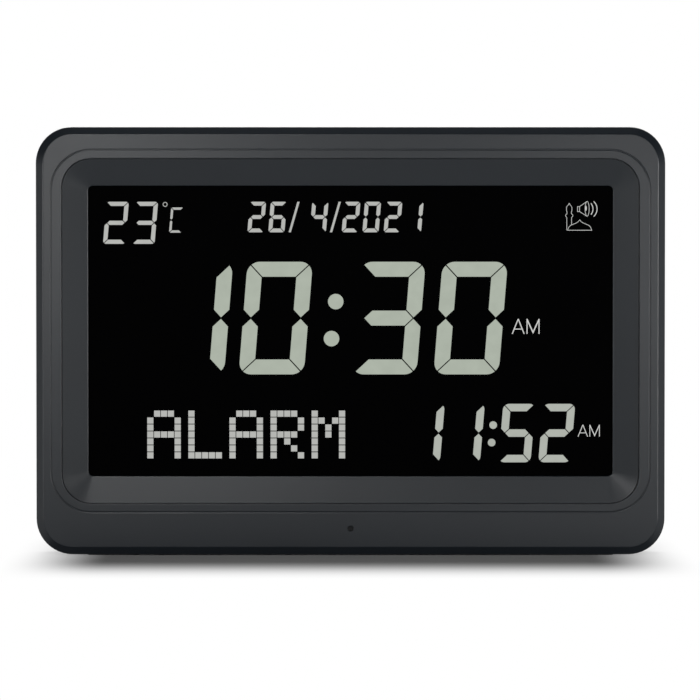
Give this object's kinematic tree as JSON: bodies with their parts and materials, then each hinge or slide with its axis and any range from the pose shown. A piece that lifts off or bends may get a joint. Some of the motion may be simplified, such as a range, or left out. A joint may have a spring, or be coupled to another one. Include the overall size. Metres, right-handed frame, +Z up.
{
  "type": "azan clock",
  "caption": "Large LCD azan clock in a charcoal plastic housing with a sunk display, rear keys, speaker grille, battery door, stand legs and wall keyholes.",
  "frame": {"origin": "middle of the footprint, on the surface the clock stands on", "axes": "+Z up, the display faces -Y, +X to the right seen from the front"},
  "size_m": [0.37, 0.036, 0.2521],
  "materials": {
    "housing_plastic": "fine matt texture, charcoal",
    "bezel_plastic": "fine matt texture, charcoal",
    "key_plastic": "satin",
    "display_face": "anti-glare film, black",
    "display_segments": "lit characters",
    "display_glass": "clear",
    "clear_acrylic": "clear",
    "film_grey": "satin film",
    "white_plastic": "satin",
    "board_green": "solder mask",
    "ribbon_amber": "film",
    "chip_black": "matt",
    "black_plastic": "satin",
    "connector_ivory": "satin",
    "steel": "zinc plated",
    "nickel": "nickel plated",
    "capacitor_sleeve": "shrink sleeve",
    "cell_sleeve": "printed sleeve, no print",
    "ferrite": "sintered",
    "cone_paper": "pressed paper",
    "foam": "foam",
    "rubber": "matt",
    "lead_sleeve": "insulated wire"
  },
  "bodies": {
    "housing": {"front_shell": "housing_plastic", "rear_cover": "housing_plastic", "display_bezel": "bezel_plastic", "front_polariser": "display_face", "front_glass": "display_glass", "rear_glass": "display_glass", "light_guide": "clear_acrylic", "rear_polariser": "film_grey", "backlight_frame": "white_plastic", "diffuser_sheet": "white_plastic", "reflector_sheet": "white_plastic", "backlight_leds": "white_plastic", "main_board": "board_green", "key_board": "board_green", "sensor_board": "board_green", "backlight_board": "board_green", "display_ribbon": "ribbon_amber", "processor_chip": "chip_black", "sound_chip": "chip_black", "amplifier_chip": "chip_black", "switch_bodies": "black_plastic", "jack_housing": "black_plastic", "light_sensor": "black_plastic", "board_sockets": "connector_ivory", "ribbon_socket": "connector_ivory", "housing_screws": "steel", "display_screws": "steel", "board_screws": "steel", "speaker_screws": "steel", "stand_pins": "steel", "speaker_frame": "steel", "spring_contacts": "nickel", "plate_contacts": "nickel", "jack_pin": "nickel", "crystal_can": "nickel", "capacitors": "capacitor_sleeve", "battery_cell_1": "cell_sleeve", "battery_cell_2": "cell_sleeve", "battery_cell_3": "cell_sleeve", "speaker_magnet": "ferrite", "speaker_cone": "cone_paper", "speaker_dust_cap": "cone_paper", "speaker_gasket": "foam", "rubber_feet": "rubber", "leads": "lead_sleeve"},
    "stand_leg_left": {"stand_leg_left": "housing_plastic", "leg_pad_left": "rubber"},
    "stand_leg_right": {"stand_leg_right": "housing_plastic", "leg_pad_right": "rubber"},
    "battery_door": {"battery_door": "housing_plastic"},
    "key_mode": {"key_mode": "key_plastic", "plunger_mode": "black_plastic"},
    "key_set": {"key_set": "key_plastic", "plunger_set": "black_plastic"},
    "key_up": {"key_up": "key_plastic", "plunger_up": "black_plastic"},
    "key_down": {"key_down": "key_plastic", "plunger_down": "black_plastic"},
    "key_sound": {"key_sound": "key_plastic", "plunger_sound": "black_plastic"}
  },
  "joints": [
    {"name": "stand_leg_left_hinge", "type": "hinge", "parent": "housing", "child": "stand_leg_left", "pos_m": [-0.118, 0.014, 0.0906], "axis": [1, 0, 0], "range_deg": [0, 30]},
    {"name": "stand_leg_right_hinge", "type": "hinge", "parent": "housing", "child": "stand_leg_right", "pos_m": [0.118, 0.014, 0.0906], "axis": [1, 0, 0], "range_deg": [0, 30]},
    {"name": "battery_door_hinge", "type": "hinge", "parent": "housing", "child": "battery_door", "pos_m": [0, 0.017, 0.02605], "axis": [-1, 0, 0], "range_deg": [0, 90]},
    {"name": "key_mode_press", "type": "slide", "parent": "housing", "child": "key_mode", "axis": [0, -1, 0], "range_m": [0, 0.0005], "stiffness_N_per_m": 400},
    {"name": "key_set_press", "type": "slide", "parent": "housing", "child": "key_set", "axis": [0, -1, 0], "range_m": [0, 0.0005], "stiffness_N_per_m": 400},
    {"name": "key_up_press", "type": "slide", "parent": "housing", "child": "key_up", "axis": [0, -1, 0], "range_m": [0, 0.0005], "stiffness_N_per_m": 400},
    {"name": "key_down_press", "type": "slide", "parent": "housing", "child": "key_down", "axis": [0, -1, 0], "range_m": [0, 0.0005], "stiffness_N_per_m": 400},
    {"name": "key_sound_press", "type": "slide", "parent": "housing", "child": "key_sound", "axis": [0, -1, 0], "range_m": [0, 0.0005], "stiffness_N_per_m": 400}
  ]
}
